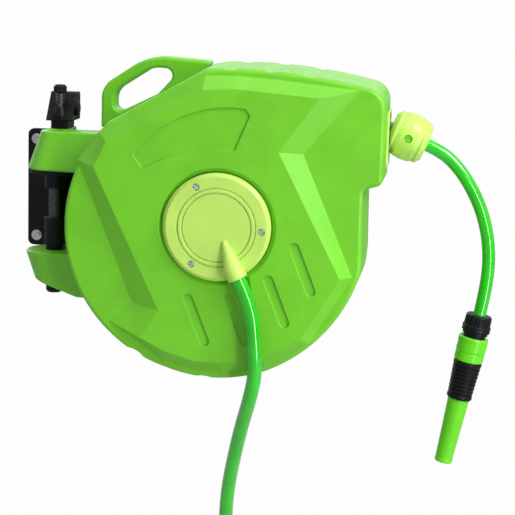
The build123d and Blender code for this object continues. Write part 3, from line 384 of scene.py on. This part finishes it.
MATERIALS = {
    "casing_green": moulded_plastic("casing_green", "70c728", "98dc58"),
    "light_green": moulded_plastic("light_green", "bde468", "dcf3a8", 0.33),
    "hose_green": hose_material("hose_green", "1fc603", "16b000"),
    "coupling_green": moulded_plastic("coupling_green", "66d418", "a0ea66", 0.3, edge=0.0006),
    "black_plastic": moulded_plastic("black_plastic", "0a0a0f", "26262e", 0.42, 0.00004, 0.0006, 0.22),
    "black_steel": coated_steel("black_steel", "0b0b10", "15151b", "3a3a42"),
    "bolt_steel": bare_metal("bolt_steel", "f0f0f2", "d0d0d4", 0.28),
    "pin_steel": bare_metal("pin_steel", "6c6c74", "4c4c54", 0.36, (1, 1, 8)),
    "spring_steel": bare_metal("spring_steel", "8c8c92", "5c5c62", 0.3),
    "grey_plastic": moulded_plastic("grey_plastic", "8b8f92", "b2b5b8", 0.45, 0.00005),
    "brass_fitting": bare_metal("brass_fitting", "d0a552", "a87c34", 0.3),
    "seal_rubber": soft_rubber("seal_rubber", "16161a", "33333a"),
}


# ---------------------------------------------------------------- CAD nodes

def dress_nodes():
    """Gives every CAD node its slot's material."""
    for part in frame["record"]["subparts"]:
        node = nodes[part["node"]]
        node.data.materials.clear()
        node.data.materials.append(MATERIALS[part["material_slot"]])


# ---------------------------------------------------------------- hoses

def hose_line(points, detail):
    """One smooth open NURBS line that starts and ends at the route's ends and passes close to its points."""
    curve = bpy.data.curves.new("hose_line", "CURVE")
    curve.dimensions = "3D"
    curve.resolution_u = detail
    spline = curve.splines.new("NURBS")
    spline.points.add(len(points) - 1)
    for point, place in zip(spline.points, points):
        point.co = (*place, 1)
    spline.order_u = 3
    spline.use_endpoint_u = True
    return bpy.data.objects.new("hose_line", curve)


def hose_tube(name, points, diameter, material, body, detail, roundness):
    """A round hose along a smooth line, as a mesh, with the points of its centre line."""
    line = hose_line(points, detail)
    spots = [v.co.copy() for v in bpy.data.meshes.new_from_object(line).vertices]
    line.data.bevel_depth = diameter / 2
    line.data.bevel_resolution = roundness
    line.data.use_fill_caps = True
    mesh = bpy.data.meshes.new_from_object(line)
    mesh.name = name
    bpy.data.objects.remove(line)
    mesh.shade_smooth()
    hose = bpy.data.objects.new(name, mesh)
    scene.collection.objects.link(hose)
    mesh.materials.clear()
    mesh.materials.append(MATERIALS[material])
    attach(hose, body)
    return hose, spots


def coil_points():
    """The put-away turns: they start at the coil's right side, run clockwise as seen from the front, and
    each lies in front of the one before.

    Over the last TAIL_STEPS points the hose swings out to its tap nut."""
    steps = round(COIL_TURNS * COIL_POINTS_PER_TURN)
    rear = LEADER_ROUTE[-1][1]
    points = []
    # control points stand outside the circle, so that the line through them has the coil's radius
    reach = COIL_RADIUS / math.cos(math.pi / COIL_POINTS_PER_TURN)
    for step in range(1, steps):
        angle = -2 * math.pi * step / COIL_POINTS_PER_TURN
        y = rear - LEADER_DIAMETER * step / COIL_POINTS_PER_TURN
        left = steps - step
        if left < TAIL_STEPS:
            y += (TAP_START.y - y) * (1 - left / TAIL_STEPS)
        points.append((COIL_CENTRE.x + reach * math.cos(angle), y, COIL_CENTRE.z + reach * math.sin(angle)))
    return points + [TAP_START + TAP_LEAD_IN, TAP_START]


def make_outlet_hose():
    hose, spots = hose_tube("outlet_hose_line", OUTLET_ROUTE, OUTLET_DIAMETER, "hose_green", "casing",
                            OUTLET_DETAIL, HOSE_ROUNDNESS)
    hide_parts("outlet_hose")


def make_leader_hose():
    points = LEADER_ROUTE + coil_points()
    hose, spots = hose_tube("leader_hose_line", points, LEADER_DIAMETER, "hose_green", "casing",
                            LEADER_DETAIL, HOSE_ROUNDNESS)
    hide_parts("leader_hose", "leader_coil")


def make_winding():
    """The hose on the drum: layers of turns that go to and fro between the flanges."""
    points = []
    steps = TURNS_PER_LAYER * WINDING_POINTS_PER_TURN
    angle = 0
    for layer, radius in enumerate(WINDING_RADII):
        ends = (WINDING_FRONT_Y, WINDING_REAR_Y)
        start, end = ends if layer % 2 == 0 else reversed(ends)
        reach = radius / math.cos(math.pi / WINDING_POINTS_PER_TURN)
        for step in range(steps):
            y = start + (end - start) * step / steps
            points.append((DRUM_AXIS.x + reach * math.cos(angle), y, DRUM_AXIS.z + reach * math.sin(angle)))
            angle += 2 * math.pi / WINDING_POINTS_PER_TURN
    winding, _ = hose_tube("drum_winding", points, WINDING_DIAMETER, "hose_green", "drum",
                           WINDING_DETAIL, WINDING_ROUNDNESS)
    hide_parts("wound_hose")


make_camera()
for light, settings in LIGHTS.items():
    make_light(light, *settings)
make_surroundings()
make_floor()
dress_nodes()
make_outlet_hose()
make_leader_hose()
make_winding()
